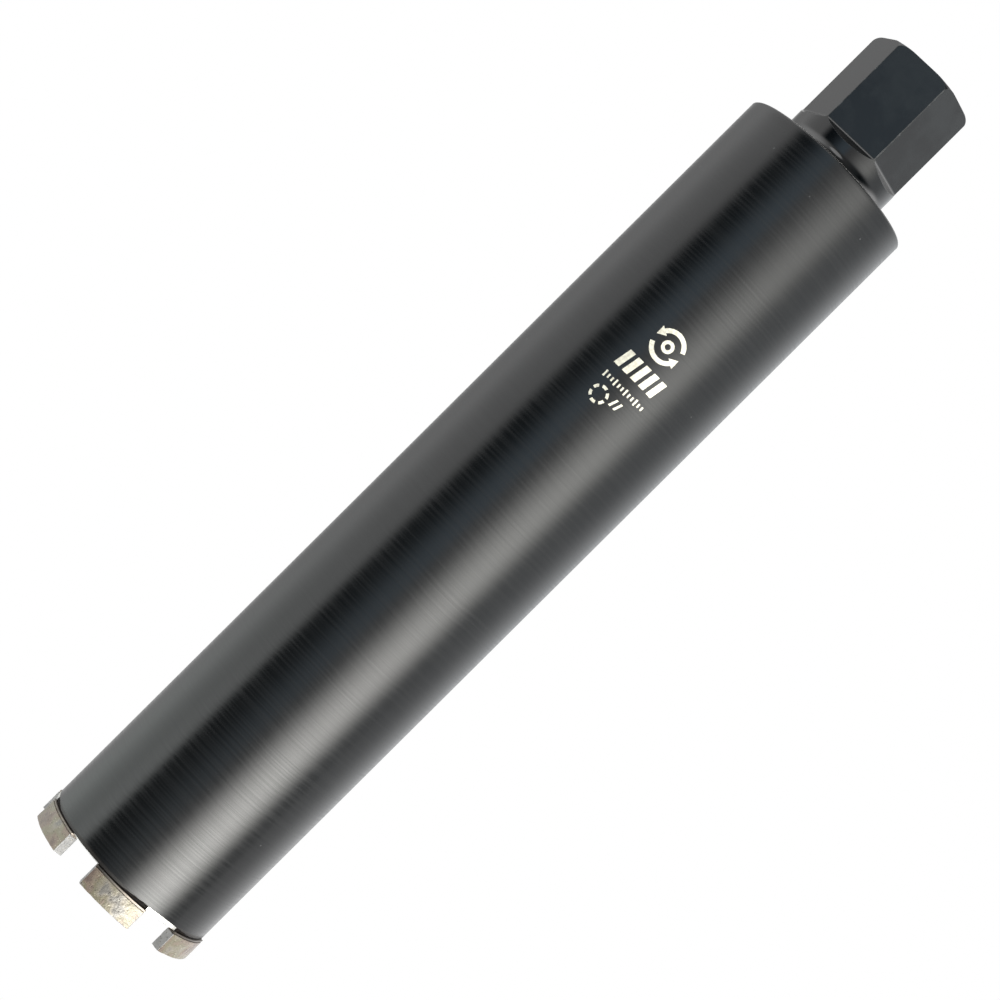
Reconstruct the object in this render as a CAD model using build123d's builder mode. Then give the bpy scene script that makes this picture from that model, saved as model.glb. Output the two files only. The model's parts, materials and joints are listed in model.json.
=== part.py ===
"""Wet diamond core bit: coated steel barrel, six sintered diamond segments and a threaded hexagon hub.

Millimetres, +Z up. The bit stands on its crown: the origin is the centre of the crown's cutting
plane, and +Z runs along the bit's axis towards the hub. One flat of the hexagon faces -Y.
"""

import os
from math import cos, pi, radians, tan

from build123d import *

# ---- driving dimensions -------------------------------------------------------------------------

# Diamond segments
segment_outer_diameter = 76.2  # the hole that the bit drills, 3 in
segment_count = 6
segment_length = 23.6  # round the crown, between its two parallel ends
segment_height = 9.2
segment_outer_relief = 1.1  # how far a segment stands proud of the barrel outside
segment_inner_relief = 0.4  # and inside
segment_end_radius = 0.4  # rounding of the upright corners
segment_face_radius = 0.25  # rounding of the edges of the cutting face
segment_turn = 14.2  # first segment's middle, counted from the flat that faces -Y

# Barrel
barrel_length = 355.6  # 14 in of drilling depth
barrel_wall = 2.0
barrel_back_chamfer = 0.5

# Hub, turned from round bar, then milled to a hexagon
hub_across_flats = 40.0
hub_corner_cut = 0.1  # what the turned outline takes off each corner of the hexagon
hub_stand_out = 49.7  # hub face above the barrel's back end
hub_neck_length = 11.8  # up to where the flats reach their full depth
hub_runout_angle = 40.0  # slope of the ramp at the foot of each flat, from square to the axis
hub_top_radius = 2.5  # turned round on the outer edge of the hub face
hub_foot_radius = 4.5  # fillet between the neck and the plug

# Plug that closes the barrel's back end
plug_depth = 15.0
plug_braze_gap = 0.05
plug_edge_chamfer = 1.0

# Spindle thread, 1-1/4 in with 7 threads per inch, bored at its minor diameter
thread_major_diameter = 31.75
thread_pitch = 25.4 / 7
thread_engagement = 0.9  # share of the full 60 degree thread height that is left standing
thread_mouth_clearance = 0.4  # countersink and relief, beyond the major radius
thread_mouth_angle = 45.0  # side of the countersink, from the axis
thread_relief_length = 12.0

# ---- sizes that follow --------------------------------------------------------------------------

segment_thickness = barrel_wall + segment_outer_relief + segment_inner_relief
segment_outer_radius = segment_outer_diameter / 2
segment_inner_radius = segment_outer_radius - segment_thickness
segment_spacing = 360 / segment_count

barrel_outer_radius = segment_outer_radius - segment_outer_relief
barrel_inner_radius = barrel_outer_radius - barrel_wall
barrel_front = segment_height
barrel_back = barrel_front + barrel_length

plug_radius = barrel_inner_radius - plug_braze_gap
plug_front = barrel_back - plug_depth

flat_count = 6
flat_spacing = 360 / flat_count
flat_distance = hub_across_flats / 2
neck_radius = flat_distance / cos(pi / flat_count) - hub_corner_cut
flat_depth = neck_radius - flat_distance
hub_face = barrel_back + hub_stand_out
flat_start = barrel_back + hub_neck_length
runout_end = flat_start - flat_depth * tan(radians(hub_runout_angle))
cutter_distance = neck_radius + flat_depth

full_thread_height = thread_pitch * cos(radians(30)) * 5 / 8
thread_radius = thread_major_diameter / 2 - full_thread_height * thread_engagement
mouth_radius = thread_major_diameter / 2 + thread_mouth_clearance
mouth_start = hub_face - (mouth_radius - thread_radius) / tan(radians(thread_mouth_angle))
relief_end = plug_front + thread_relief_length

os.makedirs("parts", exist_ok=True)


# ---- barrel: a plain tube, open at the crown ----------------------------------------------------

with BuildPart() as barrel_tube:
    with BuildSketch(Plane.XY.offset(barrel_front)):
        Circle(barrel_outer_radius)
        Circle(barrel_inner_radius, mode=Mode.SUBTRACT)
    extrude(amount=barrel_length)
    back_edges = barrel_tube.edges().group_by(Axis.Z)[-1]
    chamfer(back_edges.sort_by(SortBy.RADIUS)[-1], length=barrel_back_chamfer)

barrel_tube.part.label = "barrel_tube"
export_step(barrel_tube.part, "parts/barrel_tube.step")


# ---- hub: plug, neck and hexagon in one piece, bored for the spindle -----------------------------

with BuildPart() as hub:
    # Turned outline, with the fillet at the neck's foot and the round on the hub face
    with BuildSketch(Plane.XZ):
        with BuildLine():
            plug = Polyline(
                (0, plug_front),
                (plug_radius - plug_edge_chamfer, plug_front),
                (plug_radius, plug_front + plug_edge_chamfer),
                (plug_radius, barrel_back),
                (neck_radius + hub_foot_radius, barrel_back),
            )
            foot = RadiusArc(
                plug @ 1,
                (neck_radius, barrel_back + hub_foot_radius),
                radius=hub_foot_radius,
            )
            neck = Line(foot @ 1, (neck_radius, hub_face - hub_top_radius))
            top = RadiusArc(
                neck @ 1,
                (neck_radius - hub_top_radius, hub_face),
                radius=-hub_top_radius,
            )
            Polyline(top @ 1, (0, hub_face), (0, plug_front))
        make_face()
    revolve(axis=Axis.Z)

    # Flats, each running out on a ramp where it meets the round neck
    for flat in range(flat_count):
        outwards = Vector(0, -1, 0).rotate(Axis.Z, flat * flat_spacing)
        along_flat = Vector(-1, 0, 0).rotate(Axis.Z, flat * flat_spacing)
        with BuildSketch(Plane((0, 0, 0), x_dir=outwards, z_dir=along_flat)):
            with BuildLine():
                Polyline(
                    (flat_distance, hub_face),
                    (flat_distance, flat_start),
                    (neck_radius, runout_end),
                    (cutter_distance, runout_end),
                    (cutter_distance, hub_face),
                    close=True,
                )
            make_face()
        extrude(amount=neck_radius, both=True, mode=Mode.SUBTRACT)

    # Spindle bore: countersunk mouth, thread at its minor diameter, relief at the front
    with BuildSketch(Plane.XZ):
        with BuildLine():
            Polyline(
                (0, plug_front),
                (mouth_radius, plug_front),
                (mouth_radius, relief_end),
                (thread_radius, relief_end),
                (thread_radius, mouth_start),
                (mouth_radius, hub_face),
                (0, hub_face),
                close=True,
            )
        make_face()
    revolve(axis=Axis.Z, mode=Mode.SUBTRACT)

hub.part.label = "hub"
export_step(hub.part, "parts/hub.step")


# ---- diamond segments: equal curved blocks welded to the barrel's front edge ---------------------

for number in range(segment_count):
    direction = segment_turn - 90 + number * segment_spacing
    with BuildPart() as segment:
        with BuildSketch(Plane.XY.rotated((0, 0, direction))) as footprint:
            Circle(segment_outer_radius)
            Circle(segment_inner_radius, mode=Mode.SUBTRACT)
            Rectangle(
                segment_outer_diameter,
                segment_length,
                align=(Align.MIN, Align.CENTER),
                mode=Mode.INTERSECT,
            )
            fillet(footprint.vertices(), radius=segment_end_radius)
        extrude(amount=segment_height)
        face_edges = segment.edges().group_by(Axis.Z)[0]
        fillet(face_edges, radius=segment_face_radius)

    name = f"segment_{number + 1}"
    segment.part.label = name
    export_step(segment.part, f"parts/{name}.step")
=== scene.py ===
"""Wet diamond core bit, dressed: coated barrel, sintered segments, welds, and a milled and tapped hub.

Metres, +Z up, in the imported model's frame: the bit stands on its crown, its axis is Z, and one flat
of the hexagon faces -Y. Sizes in millimetres are multiplied by MM where they are named.
"""

import json
from math import atan2, cos, pi, radians, sin, tan

import bmesh
import bpy
from mathutils import Matrix, Quaternion, Vector


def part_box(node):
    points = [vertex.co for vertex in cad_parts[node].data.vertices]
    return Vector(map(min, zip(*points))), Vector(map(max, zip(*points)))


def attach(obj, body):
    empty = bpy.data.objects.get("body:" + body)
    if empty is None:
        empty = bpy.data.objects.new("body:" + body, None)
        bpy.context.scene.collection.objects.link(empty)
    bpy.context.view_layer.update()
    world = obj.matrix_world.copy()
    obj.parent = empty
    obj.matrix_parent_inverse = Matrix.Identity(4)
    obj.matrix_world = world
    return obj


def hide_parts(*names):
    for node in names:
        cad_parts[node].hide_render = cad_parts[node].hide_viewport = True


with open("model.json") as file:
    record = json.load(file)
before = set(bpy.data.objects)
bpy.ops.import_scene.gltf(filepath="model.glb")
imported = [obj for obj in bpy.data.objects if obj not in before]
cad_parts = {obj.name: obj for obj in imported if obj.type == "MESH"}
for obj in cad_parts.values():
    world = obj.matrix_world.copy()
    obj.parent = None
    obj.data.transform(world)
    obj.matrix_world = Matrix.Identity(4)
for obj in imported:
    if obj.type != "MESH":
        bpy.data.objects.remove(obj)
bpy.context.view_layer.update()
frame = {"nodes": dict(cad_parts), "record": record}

MM = 0.001
HAIR = 0.01 * MM  # less than this apart counts as level
SAME_POINT = 1e-7
BODY = "root"

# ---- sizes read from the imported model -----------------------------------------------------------

barrel_low, barrel_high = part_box("barrel_tube")
hub_low, hub_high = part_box("hub")
segment_names = sorted(name for name in frame["nodes"] if name.startswith("segment_"))
mounts = {mount["name"]: mount for mount in frame["record"]["mounts"]}

BARREL_RADIUS = barrel_high.x
BARREL_FRONT = barrel_low.z
BARREL_BACK = barrel_high.z
PLUG_RADIUS = hub_high.x
PLUG_FRONT = hub_low.z
HUB_FACE = hub_high.z
THREAD_RADIUS = mounts["spindle_thread"]["dims"]["r_mm"] * MM

# ---- barrel -------------------------------------------------------------------------------------

BARREL_WALL = 2.0 * MM
BARREL_CHAMFER = 0.5 * MM
BARREL_EDGE_BREAK = 0.12 * MM
BARREL_STEPS = 192
COATING_THICKNESS = 0.05 * MM
BARE_BAND = 0.9 * MM  # ground bright at the crown before the segments are welded on
HEAT_BAND = 2.2 * MM  # the welds' heat darkens the coating up to here
EDGE_CLIMBS = 3  # how often the coating's lower edge climbs on its way round the crown
EDGE_TURN = 0.57  # where it climbs, in radians of its wave
EDGE_CLIMB = 1.5 * MM
EDGE_DROP = 0.7 * MM
EDGE_ZONE = 0.3 * MM  # points this near the band's top belong to the coating's lower edge

# ---- hub ----------------------------------------------------------------------------------------

ACROSS_FLATS = 40.0 * MM
CORNER_CUT = 0.1 * MM
NECK_LENGTH = 11.8 * MM
RUNOUT_DEGREES = 40.0
RUNOUT_ANGLE = radians(RUNOUT_DEGREES)
TOP_ROUND = 2.5 * MM
FOOT_FILLET = 6.2 * MM
PLUG_CHAMFER = 1.0 * MM
HUB_EDGE_BREAK = 0.12 * MM
MILL_ROUND = 2.0 * MM  # left by the cutter where a flat meets its run-out ramp
HUB_STEPS = 180

FLAT_DISTANCE = ACROSS_FLATS / 2
NECK_RADIUS = FLAT_DISTANCE / cos(pi / 6) - CORNER_CUT
FLAT_START = BARREL_BACK + NECK_LENGTH

THREAD_MAJOR = 31.75 * MM / 2
THREAD_PITCH = 25.4 * MM / 7
THREAD_ROOT_FLAT = THREAD_PITCH / 8
THREAD_STEPS = 96
MOUTH_RADIUS = THREAD_MAJOR + 0.4 * MM
MOUTH_DEPTH = MOUTH_RADIUS - THREAD_RADIUS
RELIEF_END = PLUG_FRONT + 12.0 * MM

# ---- diamond segments ---------------------------------------------------------------------------

SEGMENT_LENGTH = 23.6 * MM
SEGMENT_OUTER = 38.1 * MM
SEGMENT_INNER = 34.6 * MM
SEGMENT_EDGE = 0.35 * MM
SEGMENT_FOOT = 0.5 * MM  # plain steel above the diamond layer, which the weld bites into
FOOT_GROOVE = 0.3 * MM  # height of the groove between the foot and the diamond layer
GROOVE_DEPTH = 0.3 * MM
FOOT_STEP = 0.15 * MM  # how far the foot stands back from the diamond layer
FOOT_EDGE = 0.08 * MM
GRIT_VOXEL = 0.18 * MM
WEAR = (("hollows", 2.6 * MM, 1.5, 0.14 * MM), ("grit", 0.6 * MM, 1.6, 0.06 * MM))  # size, contrast, depth
WELD_BELOW = 0.12 * MM
WELD_OVER_COATING = 0.15 * MM
WELD_PROUD = 0.2 * MM
FINE_RIPPLE = (0.06, 9.0)  # share of the bead's height, and radians of wave in a millimetre
LONG_RIPPLE = (0.05, 1.7)

# ---- camera -------------------------------------------------------------------------------------

CAMERA_LENS = 85.26
CAMERA_SENSOR = 36.0
CAMERA_DISTANCE = 861.0 * MM
CAMERA_HEIGHT = 202.5 * MM
CAMERA_AZIMUTH = radians(8.98)
CAMERA_ROLL = radians(45.19)
AIM_HEIGHT = 197.94 * MM
AIM_RIGHT = 0.34 * MM


# ---- node helpers -------------------------------------------------------------------------------


def add_node(tree, kind, inputs=None, **settings):
    """Adds one node. An input is a value, or another node's output to link."""
    node = tree.nodes.new(kind)
    for name, value in settings.items():
        setattr(node, name, value)
    for socket, value in (inputs or {}).items():
        if isinstance(value, bpy.types.NodeSocket):
            tree.links.new(value, node.inputs[socket])
        else:
            node.inputs[socket].default_value = value
    return node


def maths(tree, operation, first, second=0.0, third=0.0):
    inputs = {0: first, 1: second, 2: third}
    return add_node(tree, "ShaderNodeMath", inputs, operation=operation).outputs[0]


def map_range(tree, value, low, high, to_low=0.0, to_high=1.0):
    """Maps low..high to to_low..to_high, smoothly and clamped."""
    inputs = {"Value": value, 1: low, 2: high, 3: to_low, 4: to_high}
    return add_node(tree, "ShaderNodeMapRange", inputs, interpolation_type="SMOOTHSTEP").outputs[0]


def ramp(tree, factor, stops, interpolation="LINEAR"):
    """A colour ramp. A stop is (position, grey or colour)."""
    node = add_node(tree, "ShaderNodeValToRGB", {"Fac": factor})
    node.color_ramp.interpolation = interpolation
    elements = node.color_ramp.elements
    elements[0].position = stops[0][0]
    elements[1].position = stops[-1][0]
    for position, colour in stops[1:-1]:
        elements.new(position)
    for element, (position, colour) in zip(elements, stops):
        rgb = colour if isinstance(colour, tuple) else (colour,) * 3
        element.color = (*rgb, 1.0)
    return node.outputs["Color"]


def mix_colour(tree, factor, first, second, blend="MIX"):
    node = add_node(tree, "ShaderNodeMix", data_type="RGBA", blend_type=blend)
    for socket, value in ((0, factor), (6, first), (7, second)):
        if isinstance(value, bpy.types.NodeSocket):
            tree.links.new(value, node.inputs[socket])
        elif isinstance(value, tuple):
            node.inputs[socket].default_value = (*value, 1.0)
        else:
            node.inputs[socket].default_value = value
    return node.outputs[2]


def scaled(tree, point, x, y, z):
    """The point with each coordinate multiplied, so that a pattern can be stretched."""
    return add_node(tree, "ShaderNodeMapping", {"Vector": point, "Scale": (x, y, z)}).outputs[0]


def noise(tree, point, scale, detail=2.0, roughness=0.5):
    inputs = {"Vector": point, "Scale": scale, "Detail": detail, "Roughness": roughness}
    return add_node(tree, "ShaderNodeTexNoise", inputs).outputs["Fac"]


def bump(tree, height, distance, strength=1.0, normal=None):
    inputs = {"Height": height, "Distance": distance, "Strength": strength}
    if normal is not None:
        inputs["Normal"] = normal
    return add_node(tree, "ShaderNodeBump", inputs).outputs["Normal"]


def new_finish(name):
    """A material with an empty principled surface: (material, tree, shader, object coordinates)."""
    finish = bpy.data.materials.new(name)
    finish.use_nodes = True
    tree = finish.node_tree
    shader = tree.nodes["Principled BSDF"]
    point = add_node(tree, "ShaderNodeTexCoord").outputs["Object"]
    return finish, tree, shader, point


def height_above(tree, point, level):
    """Height of the point above a level, in millimetres."""
    height = add_node(tree, "ShaderNodeSeparateXYZ", {0: point}).outputs["Z"]
    return maths(tree, "MULTIPLY", maths(tree, "SUBTRACT", height, level), 1 / MM)


# ---- finishes -----------------------------------------------------------------------------------


def black_coating():
    """Thin black lacquer over a turned tube: fine rings, faint orange peel, a scorched crown edge."""
    finish, tree, shader, point = new_finish("black_coating")
    rings = noise(tree, scaled(tree, point, 12, 12, 2600), 1.0, 3.0, 0.6)
    coarse_rings = noise(tree, scaled(tree, point, 4, 4, 950), 1.0, 3.0, 0.6)
    peel = noise(tree, point, 1500.0, 2.0)
    clouds = noise(tree, point, 38.0, 3.0)

    cloudy = map_range(tree, clouds, 0.35, 0.7)
    black = mix_colour(tree, cloudy, (0.0016, 0.0021, 0.0025), (0.0028, 0.0033, 0.0037))
    paler = map_range(tree, coarse_rings, 0.4, 0.6, 0.0, 0.002)
    black = mix_colour(tree, paler, black, (1.0, 1.0, 1.0))
    fleck = add_node(tree, "ShaderNodeTexVoronoi", {"Vector": point, "Scale": 420.0, "Randomness": 1.0})
    chosen = add_node(tree, "ShaderNodeSeparateColor", {0: fleck.outputs["Color"]}).outputs[0]
    speck = maths(tree, "MULTIPLY", maths(tree, "GREATER_THAN", chosen, 0.992),
                  map_range(tree, fleck.outputs["Distance"], 0.1, 0.2, 1.0, 0.0))
    flecked = mix_colour(tree, maths(tree, "MULTIPLY", speck, 0.35), black, (0.09, 0.09, 0.09))

    above = height_above(tree, point, BARREL_FRONT)
    wander = maths(tree, "MULTIPLY_ADD", noise(tree, point, 160.0, 2.0), 0.8, -0.4)
    scorch = map_range(tree, maths(tree, "ADD", above, wander), BARE_BAND / MM, HEAT_BAND / MM, 1.0, 0.0)
    scorched = mix_colour(tree, maths(tree, "MULTIPLY", scorch, 0.6), flecked, (0.014, 0.010, 0.007))
    tree.links.new(scorched, shader.inputs["Base Color"])

    dull = map_range(tree, coarse_rings, 0.38, 0.62, 0.17, 0.245)
    dulled = maths(tree, "MULTIPLY_ADD", scorch, 0.2, dull)
    tree.links.new(dulled, shader.inputs["Roughness"])
    shader.inputs["IOR"].default_value = 1.5

    turned = bump(tree, rings, 0.0007 * MM)
    turned = bump(tree, coarse_rings, 0.04 * MM, normal=turned)
    turned = bump(tree, peel, 0.0016 * MM, normal=turned)
    tree.links.new(turned, shader.inputs["Normal"])
    return finish


def bare_steel(name, colour, roughness, ring_scale):
    """Machined steel with cutter marks that run round the axis."""
    finish, tree, shader, point = new_finish(name)
    rings = noise(tree, scaled(tree, point, 30, 30, ring_scale), 1.0, 3.0, 0.6)
    stain = noise(tree, point, 180.0, 4.0, 0.6)
    dark = tuple(part * 0.55 for part in colour)
    stained = mix_colour(tree, map_range(tree, stain, 0.35, 0.7), colour, dark)
    tree.links.new(stained, shader.inputs["Base Color"])
    shader.inputs["Metallic"].default_value = 1.0
    scored = map_range(tree, rings, 0.3, 0.7, roughness - 0.07, roughness + 0.07)
    tree.links.new(scored, shader.inputs["Roughness"])
    tree.links.new(bump(tree, rings, 0.004 * MM), shader.inputs["Normal"])
    return finish


def hub_enamel():
    """Black enamel on the hub: smooth, a little blue, with fine dust and faint tool rings on the neck, and
    painted shade that darkens it low on the hexagon.
    """
    finish, tree, shader, point = new_finish("hub_enamel")
    # Painted shade: the enamel's colour is darker low on the hexagon and on the neck, and lighter towards the
    # hub's face.
    climb = map_range(tree, height_above(tree, point, FLAT_START), 5.0, 38.0, -0.1, 0.1)
    clouds = maths(tree, "ADD", noise(tree, point, 110.0, 4.0, 0.6), climb)
    grain = noise(tree, point, 2200.0, 3.0, 0.6)
    orange = noise(tree, point, 420.0, 2.0)
    rings = noise(tree, scaled(tree, point, 25, 25, 1500), 1.0, 2.0)
    cloudy = map_range(tree, clouds, 0.35, 0.68)
    black = mix_colour(tree, cloudy, (0.0003, 0.0007, 0.0011), (0.0042, 0.0054, 0.0061))
    dust = map_range(tree, grain, 0.64, 0.78, 0.0, 0.35)
    tree.links.new(mix_colour(tree, dust, black, (0.024, 0.026, 0.027)), shader.inputs["Base Color"])
    neck = map_range(tree, height_above(tree, point, FLAT_START), -2.0, 0.5, 1.0, 0.0)
    satin = map_range(tree, clouds, 0.3, 0.7, 0.2, 0.26)
    tree.links.new(maths(tree, "MULTIPLY_ADD", neck, -0.1, satin), shader.inputs["Roughness"])
    shader.inputs["IOR"].default_value = 1.5
    grained = bump(tree, orange, 0.006 * MM)
    grained = bump(tree, grain, 0.0012 * MM, normal=grained)
    grained = bump(tree, maths(tree, "MULTIPLY", rings, neck), 0.008 * MM, normal=grained)
    tree.links.new(grained, shader.inputs["Normal"])
    return finish


def worn_edge_and_highlight():
    """Where the enamel is thin on the hub's edges and a little grey primer shows; the grey is also a painted
    highlight along the edges.
    """
    finish, tree, shader, point = new_finish("worn_edge_and_highlight")
    rub_and_gleam = noise(tree, point, 420.0, 3.0, 0.6)
    wear_and_highlight = map_range(tree, rub_and_gleam, 0.45, 0.75)
    # Grey on the edges: worn primer, and also a painted highlight.
    colour = mix_colour(tree, wear_and_highlight, (0.003, 0.0045, 0.0055), (0.05, 0.053, 0.056))
    tree.links.new(colour, shader.inputs["Base Color"])
    tree.links.new(map_range(tree, wear_and_highlight, 0.0, 1.0, 0.22, 0.4), shader.inputs["Roughness"])
    return finish


def diamond_sinter(name, patch_colours, metal, roughness):
    """Pressed metal powder with diamond grit: soft patches, pale crystals, and pits darkened with painted
    shade.
    """
    finish, tree, shader, point = new_finish(name)
    patches = noise(tree, point, 150.0, 2.5, 0.5)
    matrix = ramp(tree, patches, patch_colours)
    grit = add_node(tree, "ShaderNodeTexVoronoi", {"Vector": point, "Scale": 1500.0, "Randomness": 1.0})
    chosen = add_node(tree, "ShaderNodeSeparateColor", {0: grit.outputs["Color"]}).outputs[0]
    core = map_range(tree, grit.outputs["Distance"], 0.25, 0.42, 1.0, 0.0)
    crystal = maths(tree, "MULTIPLY", maths(tree, "GREATER_THAN", chosen, 0.93), core)
    shaded_pit = maths(tree, "MULTIPLY", maths(tree, "LESS_THAN", chosen, 0.07), core)
    # Painted shade: the pits are darkened in colour as well as pressed in by the bump.
    pit_shaded = mix_colour(tree, maths(tree, "MULTIPLY", shaded_pit, 0.7), matrix, (0.045, 0.035, 0.028))
    gritted = mix_colour(tree, maths(tree, "MULTIPLY", crystal, 0.6), pit_shaded, (0.36, 0.34, 0.26))
    tree.links.new(gritted, shader.inputs["Base Color"])

    tree.links.new(maths(tree, "MULTIPLY_ADD", crystal, -0.8 * metal, metal), shader.inputs["Metallic"])
    rough = maths(tree, "MULTIPLY_ADD", crystal, -0.12, roughness)
    tree.links.new(rough, shader.inputs["Roughness"])
    relief = maths(tree, "SUBTRACT", maths(tree, "MULTIPLY", crystal, 0.8), shaded_pit)
    rugged = bump(tree, relief, 0.02 * MM)
    rugged = bump(tree, noise(tree, point, 4200.0, 3.0), 0.006 * MM, normal=rugged)
    tree.links.new(rugged, shader.inputs["Normal"])
    return finish


def weld_scale():
    """Laser weld with black-brown scale and a few bluish and pale spots."""
    finish, tree, shader, point = new_finish("weld_scale")
    tint = noise(tree, point, 700.0, 3.0, 0.6)
    oxide = ramp(tree, tint, [
        (0.36, (0.002, 0.0016, 0.0012)),
        (0.52, (0.008, 0.005, 0.003)),
        (0.66, (0.010, 0.012, 0.015)),
        (0.78, (0.06, 0.05, 0.04)),
    ])
    tree.links.new(oxide, shader.inputs["Base Color"])
    shader.inputs["Specular IOR Level"].default_value = 0.08
    shader.inputs["Roughness"].default_value = 0.55
    tree.links.new(bump(tree, noise(tree, point, 2600.0, 2.0), 0.02 * MM), shader.inputs["Normal"])
    return finish


def etched_mark():
    """Bright matt metal where the coating is burnt away for the mark."""
    finish, tree, shader, point = new_finish("etched_mark")
    burn = noise(tree, point, 900.0, 3.0, 0.6)
    colour = mix_colour(tree, map_range(tree, burn, 0.35, 0.65), (0.74, 0.72, 0.60), (0.56, 0.53, 0.44))
    tree.links.new(colour, shader.inputs["Base Color"])
    shader.inputs["Metallic"].default_value = 0.55
    shader.inputs["Roughness"].default_value = 0.5
    tree.links.new(bump(tree, noise(tree, point, 3600.0, 2.0), 0.008 * MM), shader.inputs["Normal"])
    return finish


def tube_inside():
    """Inner wall of the tube: dull drawn steel with grey scale."""
    finish, tree, shader, point = new_finish("tube_inside")
    drawn = noise(tree, scaled(tree, point, 900, 900, 14), 1.0, 3.0, 0.6)
    scale = noise(tree, point, 120.0, 4.0, 0.65)
    colour = ramp(tree, scale, [
        (0.35, (0.050, 0.048, 0.046)),
        (0.52, (0.105, 0.098, 0.090)),
        (0.70, (0.17, 0.15, 0.13)),
    ])
    tree.links.new(colour, shader.inputs["Base Color"])
    shader.inputs["Metallic"].default_value = 0.7
    tree.links.new(map_range(tree, scale, 0.3, 0.7, 0.62, 0.45), shader.inputs["Roughness"])
    tree.links.new(bump(tree, drawn, 0.02 * MM), shader.inputs["Normal"])
    return finish


# ---- shape helpers ------------------------------------------------------------------------------


def arc(centre, radius, start, end, steps):
    """Points of a round in an outline of (radius, height) pairs. Angles in degrees."""
    angles = [radians(start + (end - start) * step / steps) for step in range(steps + 1)]
    return [(centre[0] + radius * cos(angle), centre[1] + radius * sin(angle)) for angle in angles]


def turned(outline, steps):
    """Turns a closed outline of (radius, height) pairs round the axis."""
    bm = bmesh.new()
    corners = [bm.verts.new((radius, 0.0, height)) for radius, height in outline]
    for first, second in zip(corners, corners[1:] + corners[:1]):
        bm.edges.new((first, second))
    bmesh.ops.spin(bm, geom=bm.verts[:] + bm.edges[:], cent=(0, 0, 0), axis=(0, 0, 1), dvec=(0, 0, 0),
                   angle=2 * pi, steps=steps, use_merge=True, use_duplicate=False)
    tidy(bm)
    return bm


def tidy(bm):
    bmesh.ops.remove_doubles(bm, verts=bm.verts[:], dist=SAME_POINT)
    bmesh.ops.recalc_face_normals(bm, faces=bm.faces[:])


def trim(bm, point, outwards):
    """Cuts off what lies beyond a plane, and closes the cut."""
    geometry = bm.verts[:] + bm.edges[:] + bm.faces[:]
    made = bmesh.ops.bisect_plane(bm, geom=geometry, plane_co=point, plane_no=outwards, clear_outer=True)
    rim = [item for item in made["geom_cut"] if isinstance(item, bmesh.types.BMEdge)]
    bmesh.ops.contextual_create(bm, geom=rim)


def break_edges(bm, edges, width, segments=2):
    """Bevels edges, and returns the faces that the bevel made."""
    made = bmesh.ops.bevel(bm, geom=edges, offset=width, offset_type="OFFSET", affect="EDGES",
                           segments=segments, profile=0.5, material=-1, clamp_overlap=True)
    return made["faces"]


def sharp_edges(bm, angle):
    return [edge for edge in bm.edges if edge.is_manifold and edge.calc_face_angle(0.0) > angle]


def mesh_of(name, bm):
    mesh = bpy.data.meshes.new(name)
    bm.to_mesh(mesh)
    bm.free()
    return mesh


def link(name, mesh):
    piece = bpy.data.objects.new(name, mesh)
    bpy.context.scene.collection.objects.link(piece)
    return piece


def freeze(piece):
    """Replaces a piece's mesh by what its modifiers make of it."""
    graph = bpy.context.evaluated_depsgraph_get()
    shaped = bpy.data.meshes.new_from_object(piece.evaluated_get(graph))
    piece.modifiers.clear()
    piece.data = shaped
    shaped.name = piece.name
    return piece


def cut(piece, tool, operation):
    """Boolean of a piece with a tool, which is used up."""
    step = piece.modifiers.new("cut", "BOOLEAN")
    step.operation = operation
    step.solver = "EXACT"
    step.object = tool
    freeze(piece)
    bpy.data.objects.remove(tool)
    return piece


def finish_piece(piece, finishes, slot, *nodes, smooth=32.0):
    """Gives a piece its finishes and its shading, and lets it ride with the bit."""
    for finish in finishes:
        piece.data.materials.append(finish)
    piece.data.shade_smooth()
    piece.data.set_sharp_from_angle(angle=radians(smooth))
    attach(piece, BODY)
    if nodes:
        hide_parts(*nodes)
    return piece


# ---- barrel -------------------------------------------------------------------------------------


def coating_edge(angle):
    """How far the coating's lower edge strays from the bare band's top, by angle from +X."""
    climb = max(0.0, sin(EDGE_CLIMBS * (angle + pi / 2) - EDGE_TURN))
    return EDGE_CLIMB * climb - EDGE_DROP


def make_barrel():
    """The tube: bright ground band at the crown, coating with its own thickness, chamfered back."""
    ground = BARREL_RADIUS - COATING_THICKNESS
    inside = BARREL_RADIUS - BARREL_WALL
    outline = [
        (inside, BARREL_FRONT),
        (ground, BARREL_FRONT),
        (ground, BARREL_FRONT + BARE_BAND),
        (BARREL_RADIUS, BARREL_FRONT + BARE_BAND + COATING_THICKNESS),
        (BARREL_RADIUS, BARREL_FRONT + 4 * MM),
        (BARREL_RADIUS, BARREL_BACK - 2 * MM),
        (BARREL_RADIUS, BARREL_BACK - BARREL_CHAMFER),
        (BARREL_RADIUS - BARREL_CHAMFER, BARREL_BACK),
        (inside, BARREL_BACK),
    ]
    bm = turned(outline, BARREL_STEPS)
    band_top = BARREL_FRONT + BARE_BAND + COATING_THICKNESS / 2
    corners = [
        edge for edge in sharp_edges(bm, radians(40))
        if abs(edge.verts[0].co.z - edge.verts[1].co.z) < 1e-6
        and abs(edge.verts[0].co.z - band_top) > EDGE_ZONE
    ]
    break_edges(bm, corners, BARREL_EDGE_BREAK)
    for face in bm.faces:
        centre = face.calc_center_median()
        radius = Vector(centre[:2]).length
        if radius < inside + BARREL_EDGE_BREAK:
            face.material_index = 2
        elif centre.z < band_top or centre.z > BARREL_BACK - BARREL_EDGE_BREAK:
            face.material_index = 1
    for vert in bm.verts:
        if abs(vert.co.z - band_top) < EDGE_ZONE:
            vert.co.z += coating_edge(atan2(vert.co.y, vert.co.x))
    piece = link("barrel", mesh_of("barrel", bm))
    finishes = [black_coating(), bare_steel("ground_band", (0.86, 0.85, 0.82), 0.5, 5200.0), tube_inside()]
    return finish_piece(piece, finishes, "barrel_coating", "barrel_tube")


# ---- hub ----------------------------------------------------------------------------------------


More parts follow.
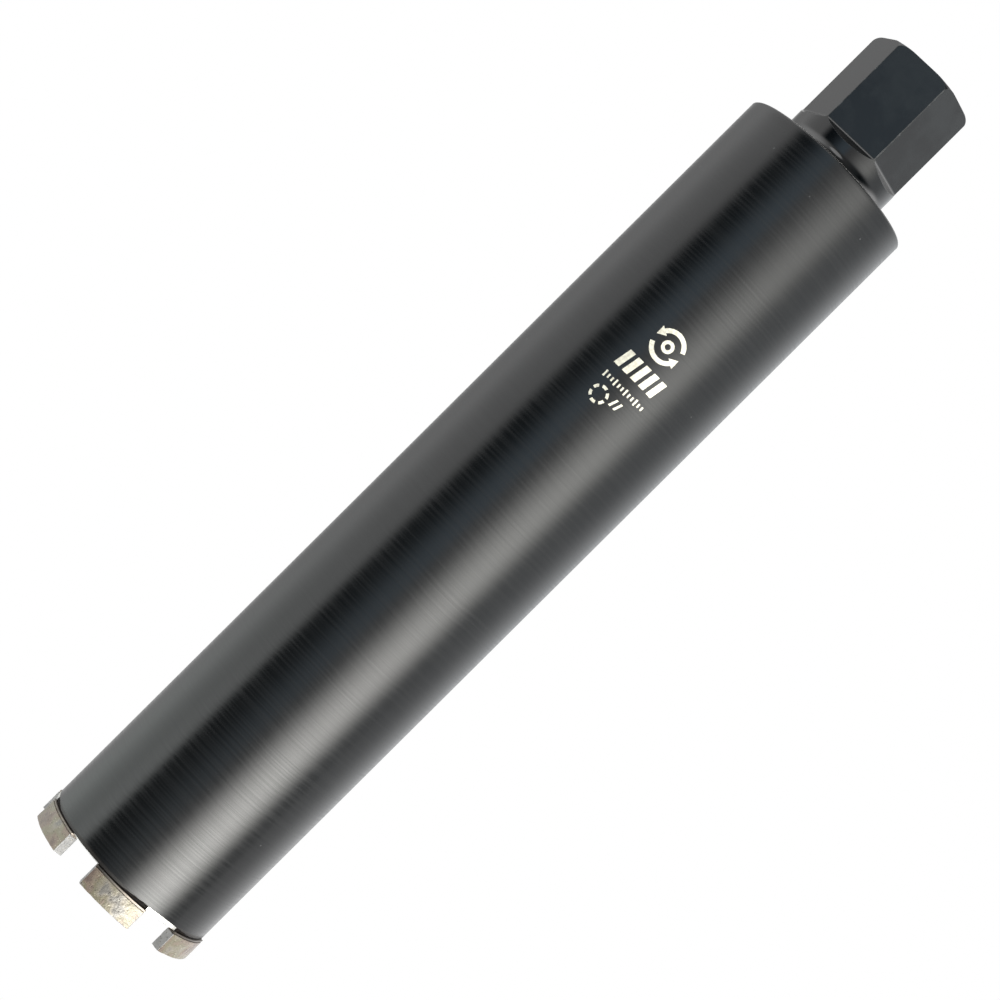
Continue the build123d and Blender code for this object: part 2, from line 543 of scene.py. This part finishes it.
def hub_blank():
    """The hub as it leaves the lathe: plug, foot fillet, neck, round top and stepped bore."""
    outline = [
        (MOUTH_RADIUS, PLUG_FRONT),
        (PLUG_RADIUS - PLUG_CHAMFER, PLUG_FRONT),
        (PLUG_RADIUS, PLUG_FRONT + PLUG_CHAMFER),
        (PLUG_RADIUS, BARREL_BACK),
        *arc((NECK_RADIUS + FOOT_FILLET, BARREL_BACK + FOOT_FILLET), FOOT_FILLET, 270, 180, 12),
        (NECK_RADIUS, BARREL_BACK + FOOT_FILLET + 1 * MM),
        *arc((NECK_RADIUS - TOP_ROUND, HUB_FACE - TOP_ROUND), TOP_ROUND, 0, 90, 12),
        (MOUTH_RADIUS, HUB_FACE),
        (THREAD_RADIUS, HUB_FACE - MOUTH_DEPTH),
        (THREAD_RADIUS, RELIEF_END),
        (MOUTH_RADIUS, RELIEF_END),
    ]
    return link("hub_body", mesh_of("hub_body", turned(outline, HUB_STEPS)))


def hexagon_envelope():
    """What milling leaves: a hexagon that flares out on ramps at its foot, then clears the plug."""
    clear_neck = NECK_RADIUS + 0.2 * MM
    clear_plug = PLUG_RADIUS + 10 * MM
    ramp_foot = FLAT_START - (clear_neck - FLAT_DISTANCE) * tan(RUNOUT_ANGLE)
    ramp_tilt = 90 - RUNOUT_DEGREES
    round_start = FLAT_START + MILL_ROUND * tan(radians(ramp_tilt / 2))
    levels = [
        *arc((FLAT_DISTANCE + MILL_ROUND, round_start), MILL_ROUND, 180, 180 + ramp_tilt, 6),
        (clear_neck, ramp_foot),
        (clear_plug, ramp_foot),
        (clear_plug, PLUG_FRONT - 5 * MM),
    ]
    bm = bmesh.new()
    top = Matrix.Translation((0, 0, HUB_FACE + 5 * MM)) @ Matrix.Rotation(pi / 6, 4, "Z")
    bmesh.ops.create_circle(bm, cap_ends=True, segments=6, radius=FLAT_DISTANCE / cos(pi / 6), matrix=top)
    end = next(iter(bm.faces))
    distance = FLAT_DISTANCE
    for number, (next_distance, height) in enumerate(levels):
        made = bmesh.ops.extrude_face_region(bm, geom=[end])
        if number > 0:
            bmesh.ops.delete(bm, geom=[end], context="FACES_ONLY")
        end = next(item for item in made["geom"] if isinstance(item, bmesh.types.BMFace))
        grow = next_distance / distance
        bmesh.ops.scale(bm, vec=(grow, grow, 1), verts=end.verts[:])
        bmesh.ops.translate(bm, vec=(0, 0, height - end.verts[0].co.z), verts=end.verts[:])
        distance = next_distance
    tidy(bm)
    return link("hexagon_envelope", mesh_of("hexagon_envelope", bm))


def tap():
    """A threaded rod: one turn of the tooth outline, carried up the thread's whole length."""
    core = THREAD_RADIUS - 0.5 * MM
    half_root = THREAD_ROOT_FLAT / 2
    half_foot = half_root + (THREAD_MAJOR - core) * tan(radians(30))
    low = RELIEF_END - 2.5 * THREAD_PITCH
    turns = int((HUB_FACE - low) / THREAD_PITCH) + 3
    tooth = [
        (core, -THREAD_PITCH / 2),
        (core, -half_foot),
        (THREAD_MAJOR, -half_root),
        (THREAD_MAJOR, half_root),
        (core, half_foot),
        (core, THREAD_PITCH / 2),
    ]
    bm = bmesh.new()
    corners = [bm.verts.new((radius, 0.0, low + height)) for radius, height in tooth]
    for first, second in zip(corners, corners[1:]):
        bm.edges.new((first, second))
    rise = THREAD_PITCH / THREAD_STEPS
    bmesh.ops.spin(bm, geom=bm.verts[:] + bm.edges[:], cent=(0, 0, 0), axis=(0, 0, 1), dvec=(0, 0, rise),
                   angle=2 * pi * turns, steps=THREAD_STEPS * turns, use_merge=False, use_duplicate=False)
    bmesh.ops.remove_doubles(bm, verts=bm.verts[:], dist=1e-6)
    for height, side in ((RELIEF_END - THREAD_PITCH / 2, -1), (HUB_FACE + THREAD_PITCH / 2, 1)):
        trim(bm, (0, 0, height), (0, 0, side))
    tidy(bm)
    return link("tap", mesh_of("tap", bm))


def make_hub():
    """Turned, milled, tapped, then its outer edges broken."""
    piece = cut(hub_blank(), hexagon_envelope(), "INTERSECT")
    piece = cut(piece, tap(), "DIFFERENCE")
    bm = bmesh.new()
    bm.from_mesh(piece.data)
    tidy(bm)
    for face in bm.faces:
        centre = face.calc_center_median()
        in_bore = all(Vector(vert.co[:2]).length < MOUTH_RADIUS + HAIR for vert in face.verts)
        face.material_index = 2 if in_bore and centre.z < HUB_FACE - HAIR else 0
    outer = [
        edge for edge in sharp_edges(bm, radians(12))
        if min(vert.co.z for vert in edge.verts) > BARREL_BACK + FOOT_FILLET
        and min(Vector(vert.co[:2]).length for vert in edge.verts) > FLAT_DISTANCE - 0.1 * MM
    ]
    # The edge bevels take the worn edge finish: enamel rubbed down to grey primer, which is also a painted
    # highlight along the edges.
    for face in break_edges(bm, outer, HUB_EDGE_BREAK):
        face.material_index = 1
    for vert in bm.verts:
        vert.co.z = min(vert.co.z, HUB_FACE)
    bmesh.ops.recalc_face_normals(bm, faces=bm.faces[:])
    bm.to_mesh(piece.data)
    bm.free()
    finishes = [hub_enamel(), worn_edge_and_highlight(), bare_steel("tapped_steel", (0.30, 0.29, 0.28), 0.36, 3400.0)]
    finish_piece(piece, finishes, "hub_black", "hub")
    flat_shading = piece.modifiers.new("flat_shading", "WEIGHTED_NORMAL")
    flat_shading.keep_sharp = True
    return piece


# ---- diamond segments ---------------------------------------------------------------------------


def direction_of(name):
    """Where a segment stands round the crown."""
    points = [vert.co for vert in frame["nodes"][name].data.vertices]
    return atan2(sum(point.y for point in points), sum(point.x for point in points))


def curved_block(outline, turn):
    """A closed outline of (radius, height) pairs swept round the crown, with parallel ends."""
    bm = bmesh.new()
    reach = radians(24)
    corners = []
    for radius, height in outline:
        corners.append(bm.verts.new((radius * cos(reach), -radius * sin(reach), height)))
    for first, second in zip(corners, corners[1:] + corners[:1]):
        bm.edges.new((first, second))
    bmesh.ops.spin(bm, geom=bm.verts[:] + bm.edges[:], cent=(0, 0, 0), axis=(0, 0, 1), dvec=(0, 0, 0),
                   angle=2 * reach, steps=48, use_merge=False, use_duplicate=False)
    for side in (-1, 1):
        trim(bm, (0, side * SEGMENT_LENGTH / 2, 0), (0, side, 0))
    tidy(bm)
    bmesh.ops.rotate(bm, verts=bm.verts[:], cent=(0, 0, 0), matrix=Matrix.Rotation(turn, 3, "Z"))
    return bm


def diamond_layer(turn):
    top = BARREL_FRONT - SEGMENT_FOOT - FOOT_GROOVE
    outline = [(SEGMENT_INNER, 0.0), (SEGMENT_OUTER, 0.0), (SEGMENT_OUTER, top), (SEGMENT_INNER, top)]
    bm = curved_block(outline, turn)
    break_edges(bm, sharp_edges(bm, radians(60)), SEGMENT_EDGE)
    return bm


def weld_foot(turn):
    """Steel foot of a segment: a flange under the barrel, on a narrower web that enters the diamond layer."""
    outer = SEGMENT_OUTER - FOOT_STEP
    inner = SEGMENT_INNER + FOOT_STEP
    flange = BARREL_FRONT - SEGMENT_FOOT
    web_end = flange - 2 * FOOT_GROOVE
    outline = [
        (inner + GROOVE_DEPTH, web_end),
        (outer - GROOVE_DEPTH, web_end),
        (outer - GROOVE_DEPTH, flange),
        (outer, flange),
        (outer, BARREL_FRONT),
        (inner, BARREL_FRONT),
        (inner, flange),
        (inner + GROOVE_DEPTH, flange),
    ]
    bm = curved_block(outline, turn)
    rims = [
        edge for edge in sharp_edges(bm, radians(60))
        if min(vert.co.z for vert in edge.verts) > flange - HAIR
    ]
    break_edges(bm, rims, FOOT_EDGE)
    bmesh.ops.dissolve_degenerate(bm, edges=bm.edges[:], dist=1e-6)
    tidy(bm)
    return bm


def grit_texture(name, size, contrast):
    texture = bpy.data.textures.new(name, "CLOUDS")
    texture.noise_scale = size
    texture.noise_depth = 2
    texture.contrast = contrast
    return texture


def roughen(piece):
    """Even small faces, then worn hollows and grit pressed inwards, so that the block never grows."""
    remesh = piece.modifiers.new("even_faces", "REMESH")
    remesh.mode = "VOXEL"
    remesh.voxel_size = GRIT_VOXEL
    for name, size, contrast, depth in WEAR:
        push = piece.modifiers.new(name, "DISPLACE")
        push.texture = bpy.data.textures.get(name) or grit_texture(name, size, contrast)
        push.texture_coords = "LOCAL"
        push.mid_level = 1.0
        push.strength = depth
    return freeze(piece)


def make_segments(sinter, ground_end, foot_steel):
    for name in segment_names:
        turn = direction_of(name)
        along = Vector((-sin(turn), cos(turn), 0))
        piece_name = name.replace("segment", "sintered_segment")
        piece = roughen(link(piece_name, mesh_of(piece_name, diamond_layer(turn))))
        for face in piece.data.polygons:
            if abs(Vector(face.center).dot(along)) > SEGMENT_LENGTH / 2 - SEGMENT_EDGE * 0.8:
                face.material_index = 1
        finish_piece(piece, [sinter, ground_end], "diamond_sinter", name, smooth=60.0)
        foot_name = name.replace("segment", "weld_foot")
        finish_piece(link(foot_name, mesh_of(foot_name, weld_foot(turn))), [foot_steel], "diamond_sinter")


def make_welds(scale):
    """A flat, rippled laser weld over each segment's joint, from its foot up to the coating's edge."""
    half_angle = SEGMENT_LENGTH / 2 / BARREL_RADIUS * 0.985
    low = BARREL_FRONT - WELD_BELOW
    for name in segment_names:
        turn = direction_of(name)
        bm = bmesh.new()
        start = Matrix.Rotation(turn - half_angle, 4, "Z") @ Matrix.Translation((BARREL_RADIUS, 0, 0))
        bmesh.ops.create_circle(bm, cap_ends=True, segments=16, radius=WELD_PROUD,
                                matrix=start @ Matrix.Rotation(pi / 2, 4, "X"))
        bmesh.ops.spin(bm, geom=bm.verts[:] + bm.edges[:] + bm.faces[:], cent=(0, 0, 0), axis=(0, 0, 1),
                       dvec=(0, 0, 0), angle=2 * half_angle, steps=96, use_merge=False, use_duplicate=False)
        tidy(bm)
        for vert in bm.verts:
            angle = atan2(vert.co.y, vert.co.x)
            along = (angle - turn) * BARREL_RADIUS / MM
            fine = FINE_RIPPLE[0] * sin(along * FINE_RIPPLE[1])
            ripple = 1 + fine + LONG_RIPPLE[0] * sin(along * LONG_RIPPLE[1] + turn)
            height = (WELD_BELOW + BARE_BAND + coating_edge(angle) + WELD_OVER_COATING) * ripple
            share = 0.5 + 0.5 * vert.co.z / WELD_PROUD
            vert.co.z = low + share * height
        piece_name = name.replace("segment", "weld_bead")
        finish_piece(link(piece_name, mesh_of(piece_name, bm)), [scale], "diamond_sinter", smooth=60.0)


def make_back_seam(scale):
    """The weld that holds the plug in the barrel, turned nearly flush with the back end."""
    middle = BARREL_RADIUS - BARREL_WALL
    outline = arc((middle, BARREL_BACK), 0.35 * MM, 0, 180, 8) + [(middle, BARREL_BACK - 0.3 * MM)]
    finish_piece(link("back_seam", mesh_of("back_seam", turned(outline, BARREL_STEPS))), [scale], "hub_black")


# ---- etched mark --------------------------------------------------------------------------------

MARK_TURN = radians(14.8 - 90)  # middle of the mark, from +X
MARK_PROUD = 0.02 * MM
MARK_THICKNESS = 0.05 * MM
MARK_WIDTH = 19.8 * MM
RING_HEIGHT = 277.0 * MM
BARS_HEIGHT = 263.8 * MM
TICKS_HEIGHT = 255.4 * MM
CROWN_SIGN_HEIGHT = 248.5 * MM


def flat_bar(bm, across, up, width, height, lean=0.0):
    """A bar in the mark's own plane: X runs round the barrel, Y along it."""
    place = Matrix.Translation((across, up, 0))
    slope = Matrix.Identity(4)
    slope[0][1] = lean
    size = Matrix.Diagonal((width, height, 1, 1))
    bmesh.ops.create_grid(bm, x_segments=6, y_segments=2, size=0.5, matrix=place @ slope @ size)


def ring_part(bm, across, up, outer, inner, start, end, steps):
    """Part of a flat ring, from one angle to another."""
    turn = Matrix.Rotation(radians(start), 4, "Z")
    first = bm.verts.new(Matrix.Translation((across, up, 0)) @ turn @ Vector((inner, 0, 0)))
    second = bm.verts.new(Matrix.Translation((across, up, 0)) @ turn @ Vector((outer, 0, 0)))
    edge = bm.edges.new((first, second))
    bmesh.ops.spin(bm, geom=[first, second, edge], cent=(across, up, 0), axis=(0, 0, 1), dvec=(0, 0, 0),
                   angle=radians(end - start), steps=steps, use_merge=False, use_duplicate=False)


def arrow_head(bm, across, up, size, angle):
    """A three-sided head that points along the ring."""
    place = Matrix.Translation((across, up, 0)) @ Matrix.Rotation(radians(angle), 4, "Z")
    corners = [bm.verts.new(place @ Vector(corner)) for corner in
               ((-size, -0.35 * size, 0), (size, -0.35 * size, 0), (0, 1.3 * size, 0))]
    head = bm.faces.new(corners)
    bmesh.ops.subdivide_edges(bm, edges=head.edges[:], cuts=4, use_grid_fill=True)


def wrap_mark(bm):
    """Gives the flat mark its hair of thickness and bends it round the barrel."""
    for face in bm.faces[:]:
        if face.normal.z < 0:
            face.normal_flip()
    skin = bm.faces[:]
    made = bmesh.ops.extrude_face_region(bm, geom=skin, use_keep_orig=True)
    raised = [item for item in made["geom"] if isinstance(item, bmesh.types.BMVert)]
    bmesh.ops.translate(bm, vec=(0, 0, MARK_THICKNESS), verts=raised)
    bmesh.ops.recalc_face_normals(bm, faces=bm.faces[:])
    for vert in bm.verts:
        angle = MARK_TURN + vert.co.x / BARREL_RADIUS
        radius = BARREL_RADIUS + MARK_PROUD - MARK_THICKNESS + vert.co.z
        vert.co = (radius * cos(angle), radius * sin(angle), vert.co.y)


def make_mark(name, build, etched):
    bm = bmesh.new()
    build(bm)
    bmesh.ops.remove_doubles(bm, verts=bm.verts[:], dist=SAME_POINT)
    wrap_mark(bm)
    finish_piece(link(name, mesh_of(name, bm)), [etched], "barrel_coating")


def turning_arrow(bm):
    """Two arrows chasing round a ring: the way the bit turns."""
    outer = 6.6 * MM
    inner = 4.9 * MM
    middle = (outer + inner) / 2
    for half in (0, 180):
        ring_part(bm, 0, RING_HEIGHT, outer, inner, half + 20, half + 150, 26)
        angle = radians(half + 150)
        arrow_head(bm, middle * cos(angle), RING_HEIGHT + middle * sin(angle), 1.9 * MM, half + 150)
    ring_part(bm, 0, RING_HEIGHT, 2.4 * MM, 1.1 * MM, 0, 360, 28)


def block_row(bm):
    """A row of leaning bars."""
    count = 5
    pitch = MARK_WIDTH / count
    for number in range(count):
        flat_bar(bm, (number - (count - 1) / 2) * pitch, BARS_HEIGHT, pitch * 0.62, 7.2 * MM, 0.18)


def tick_row(bm):
    """A thin row of ticks."""
    count = 12
    pitch = MARK_WIDTH / count
    for number in range(count):
        length = 2.6 * MM if number % 3 == 0 else 1.6 * MM
        flat_bar(bm, (number - (count - 1) / 2) * pitch, TICKS_HEIGHT, pitch * 0.42, length)


def crown_sign(bm):
    """The crown seen end on: six short arcs, and two strokes beside it."""
    for number in range(6):
        ring_part(bm, -5.4 * MM, CROWN_SIGN_HEIGHT, 3.6 * MM, 2.5 * MM, number * 60 + 12, number * 60 + 48, 8)
    for number in range(2):
        flat_bar(bm, (0.4 + 2.2 * number) * MM, CROWN_SIGN_HEIGHT + 1.4 * MM, 0.9 * MM, 3.4 * MM, 0.35)


# ---- studio -------------------------------------------------------------------------------------


def place_camera():
    view = bpy.data.cameras.new("studio_camera")
    view.lens = CAMERA_LENS
    view.sensor_width = CAMERA_SENSOR
    camera = link("studio_camera", view)
    sideways = Vector((cos(CAMERA_AZIMUTH), sin(CAMERA_AZIMUTH), 0))
    towards = Vector((sin(CAMERA_AZIMUTH), -cos(CAMERA_AZIMUTH), 0))
    camera.location = towards * CAMERA_DISTANCE + Vector((0, 0, CAMERA_HEIGHT))
    aim = sideways * AIM_RIGHT + Vector((0, 0, AIM_HEIGHT))
    look = (aim - camera.location).to_track_quat("-Z", "Y")
    camera.rotation_euler = (look @ Quaternion((0, 0, 1), CAMERA_ROLL)).to_euler()
    bpy.context.scene.camera = camera


def lay_floor():
    """A plain pale floor, seen from above only, which adds no light of its own to the bit."""
    bm = bmesh.new()
    bmesh.ops.create_grid(bm, x_segments=1, y_segments=1, size=3.0)
    floor = link("floor", mesh_of("floor", bm))
    paper = bpy.data.materials.new("pale_floor")
    paper.use_nodes = True
    tree = paper.node_tree
    tree.nodes.clear()
    white = add_node(tree, "ShaderNodeEmission", {"Color": (1, 1, 1, 1), "Strength": 1.0}).outputs[0]
    clear = add_node(tree, "ShaderNodeBsdfTransparent").outputs[0]
    back = add_node(tree, "ShaderNodeNewGeometry").outputs["Backfacing"]
    sides = add_node(tree, "ShaderNodeMixShader", {0: back, 1: white, 2: clear}).outputs[0]
    add_node(tree, "ShaderNodeOutputMaterial", {"Surface": sides})
    floor.data.materials.append(paper)
    floor.visible_diffuse = False
    floor.visible_glossy = False
    floor.visible_transmission = False
    floor.visible_shadow = False


def tinted(light, tint=(1.0, 1.0, 1.0)):
    return tuple(light * part for part in tint)


LIGHT_SCALE = 3.0
PLAIN = (1.0, 1.0, 1.0)
COOL = (0.80, 1.0, 1.18)
FRESH = (0.955, 1.0, 1.035)
MIST = (0.94, 1.0, 0.97)
WARM = (1.0, 0.995, 0.95)

# Soft cards round the bit, in three bands of height that blend into each other. A card's light rises
# over its first pair of angles and fades over its second, in degrees from the camera's side.
LOW_CARDS = {
    "back_wall": ((135, 175), (-150, -115), 0.7, PLAIN),
    "left_card": ((-150, -110), (-61.5, -53.5), 1.83, MIST),
    "left_strip": ((-86, -66), (-61.5, -53.5), 0.75, PLAIN),
    "front_fill": ((-28, 12), (12, 140), 0.5, PLAIN),
    "right_card": ((84, 91), (150, 180), 0.75, PLAIN),
    "right_strip": ((92, 130), (132, 165), 0.7, PLAIN),
}
MIDDLE_CARDS = {
    "back_wall": ((140, 180), (-178, -125), 0.7, PLAIN),
    "left_card": ((-162, -106), (-66, -49), 1.48, PLAIN),
    "gap_glow": ((-60, -52), (-40, -30), 0.05, COOL),
    "window": ((-43, -9), (-8, 2), 0.85, COOL),
    "front_fill": ((-8, 2), (20, 150), 0.8, PLAIN),
    "right_card": ((58, 76), (150, 180), 0.62, FRESH),
    "right_strip": ((88, 130), (132, 170), 0.65, PLAIN),
}
HIGH_CARDS = {
    "back_wall": ((125, 160), (-170, -125), 0.8, PLAIN),
    "left_card": ((-170, -82), (-75, -14), 2.6, PLAIN),
    "front_fill": ((-60, -20), (0, 65), 0.45, PLAIN),
    "right_card": ((69, 114), (116, 158), 2.8, PLAIN),
}
KEY_CARD = ((1, 46), (46, 76.5), 0.942, WARM)
KEY_HALO = ((-110, 66), (66, 135), 0.022, WARM)
LOW_TO_MIDDLE = (radians(-16), radians(0))  # heights over which one band blends into the next
MIDDLE_TO_HIGH = (radians(20), radians(40))
KEY_STRENGTH = 5.0
KEY_FADE = 3.8  # e-folds per radian of height
KEY_LOWEST = radians(-15)  # the key light grows no stronger below this
KEY_BOTTOM = (radians(-50), radians(-18))
KEY_TOP = (radians(18), radians(36))
KEY_FOOT = 0.2  # how much stronger it is low down
KEY_FOOT_HEIGHTS = (radians(-14), radians(-7))
CEILING = 0.27
CEILING_HEIGHTS = (radians(52), radians(75))
TABLE = 0.8
TABLE_HEIGHTS = (radians(-75), radians(-45))
LAMP_TURN = radians(-20)
LAMP_HEIGHT = radians(52)
LAMP_STRENGTH = 5.0
LAMP_EDGE = (cos(radians(14)), cos(radians(6)))


def soft_card(tree, turn, card, scale):
    """Light of one card by angle. A card that fades before it rises runs round the back."""
    rise, fade, light, tint = card
    corners = sorted([(rise[0], 0.0), (rise[1], 1.0), (fade[0], 1.0), (fade[1], 0.0)])
    stops = [(angle / 360 + 0.5, tinted(share * light / scale, tint)) for angle, share in corners]
    return ramp(tree, turn, stops, "EASE")


def hang_cards(tree, turn, cards):
    """Adds up the cards of one band."""
    lit = (0.0, 0.0, 0.0)
    for card in cards.values():
        lit = mix_colour(tree, 1.0, soft_card(tree, turn, card, LIGHT_SCALE), lit, "ADD")
    return lit


def dot(tree, way, direction):
    """How far the way that a ray goes points along a direction."""
    inputs = {0: way, 1: direction}
    return add_node(tree, "ShaderNodeVectorMath", inputs, operation="DOT_PRODUCT").outputs["Value"]


def studio_light():
    """Soft white cards and one large soft light, as a sky that only the bit sees: the backdrop is white."""
    world = bpy.data.worlds.new("studio_light")
    world.use_nodes = True
    tree = world.node_tree
    tree.nodes.clear()
    way = add_node(tree, "ShaderNodeTexCoord").outputs["Generated"]
    facing = (sin(CAMERA_AZIMUTH), -cos(CAMERA_AZIMUTH), 0)
    sideways = (cos(CAMERA_AZIMUTH), sin(CAMERA_AZIMUTH), 0)
    front = dot(tree, way, facing)
    side = dot(tree, way, sideways)
    turn = maths(tree, "MULTIPLY_ADD", maths(tree, "ARCTAN2", side, front), 1 / (2 * pi), 0.5)
    height = maths(tree, "ARCSINE", add_node(tree, "ShaderNodeSeparateXYZ", {0: way}).outputs["Z"])

    low = hang_cards(tree, turn, LOW_CARDS)
    middle = hang_cards(tree, turn, MIDDLE_CARDS)
    high = hang_cards(tree, turn, HIGH_CARDS)
    cards = mix_colour(tree, map_range(tree, height, *LOW_TO_MIDDLE), low, middle)
    cards = mix_colour(tree, map_range(tree, height, *MIDDLE_TO_HIGH), cards, high)

    halo = soft_card(tree, turn, KEY_HALO, 1.0)
    key = mix_colour(tree, 1.0, soft_card(tree, turn, KEY_CARD, 1.0), halo, "ADD")
    clipped = maths(tree, "MAXIMUM", height, KEY_LOWEST)
    fade = maths(tree, "EXPONENT", maths(tree, "MULTIPLY", clipped, -KEY_FADE))
    below = map_range(tree, height, *KEY_BOTTOM)
    above = map_range(tree, height, *KEY_TOP, 1.0, 0.0)
    foot = map_range(tree, height, *KEY_FOOT_HEIGHTS, 1.0 + KEY_FOOT, 1.0)
    strength = maths(tree, "MULTIPLY", maths(tree, "MULTIPLY", fade, below), above)
    strength = maths(tree, "MULTIPLY", maths(tree, "MULTIPLY", strength, foot), KEY_STRENGTH / LIGHT_SCALE)
    lit = mix_colour(tree, 1.0, cards, mix_colour(tree, 1.0, key, strength, "MULTIPLY"), "ADD")
    ceiling = map_range(tree, height, *CEILING_HEIGHTS)
    lit = mix_colour(tree, ceiling, lit, tinted(CEILING / LIGHT_SCALE))
    table = map_range(tree, height, *TABLE_HEIGHTS, 1.0, 0.0)
    lit = mix_colour(tree, table, lit, tinted(TABLE / LIGHT_SCALE))

    up = Vector((0, 0, sin(LAMP_HEIGHT)))
    lamp_way = Quaternion((0, 0, 1), LAMP_TURN) @ Vector(facing) * cos(LAMP_HEIGHT) + up
    lamp = dot(tree, way, tuple(lamp_way))
    lamp = map_range(tree, lamp, *LAMP_EDGE, 0.0, LAMP_STRENGTH / LIGHT_SCALE)
    lamp_light = mix_colour(tree, lamp, (0.0, 0.0, 0.0), (1.0, 1.0, 1.0))
    lit = mix_colour(tree, 1.0, lit, lamp_light, "ADD")

    sky = add_node(tree, "ShaderNodeBackground", {"Color": lit, "Strength": LIGHT_SCALE}).outputs[0]
    backdrop = add_node(tree, "ShaderNodeBackground", {"Color": (1, 1, 1, 1), "Strength": 1.0}).outputs[0]
    seen = add_node(tree, "ShaderNodeLightPath").outputs["Is Camera Ray"]
    shown = add_node(tree, "ShaderNodeMixShader", {0: seen, 1: sky, 2: backdrop}).outputs[0]
    add_node(tree, "ShaderNodeOutputWorld", {"Surface": shown})
    bpy.context.scene.world = world
    bpy.context.scene.view_settings.view_transform = "Standard"


# ---- the bit ------------------------------------------------------------------------------------

place_camera()
studio_light()
lay_floor()

make_barrel()
make_hub()
sinter_finish = diamond_sinter("pressed_sinter", [
    (0.34, (0.135, 0.102, 0.086)),
    (0.44, (0.190, 0.150, 0.118)),
    (0.52, (0.172, 0.156, 0.108)),
    (0.60, (0.215, 0.192, 0.155)),
    (0.68, (0.160, 0.150, 0.135)),
], 0.25, 0.22)
end_finish = diamond_sinter("ground_segment_end", [
    (0.34, (0.20, 0.197, 0.195)),
    (0.64, (0.28, 0.275, 0.27)),
], 0.1, 0.4)
weld_finish = weld_scale()
foot_finish = bare_steel("foot_steel", (0.21, 0.185, 0.16), 0.34, 900.0)
make_segments(sinter_finish, end_finish, foot_finish)
make_welds(weld_finish)
make_back_seam(weld_finish)
mark_finish = etched_mark()
make_mark("mark_turning_arrow", turning_arrow, mark_finish)
make_mark("mark_block_row", block_row, mark_finish)
make_mark("mark_tick_row", tick_row, mark_finish)
make_mark("mark_crown_sign", crown_sign, mark_finish)
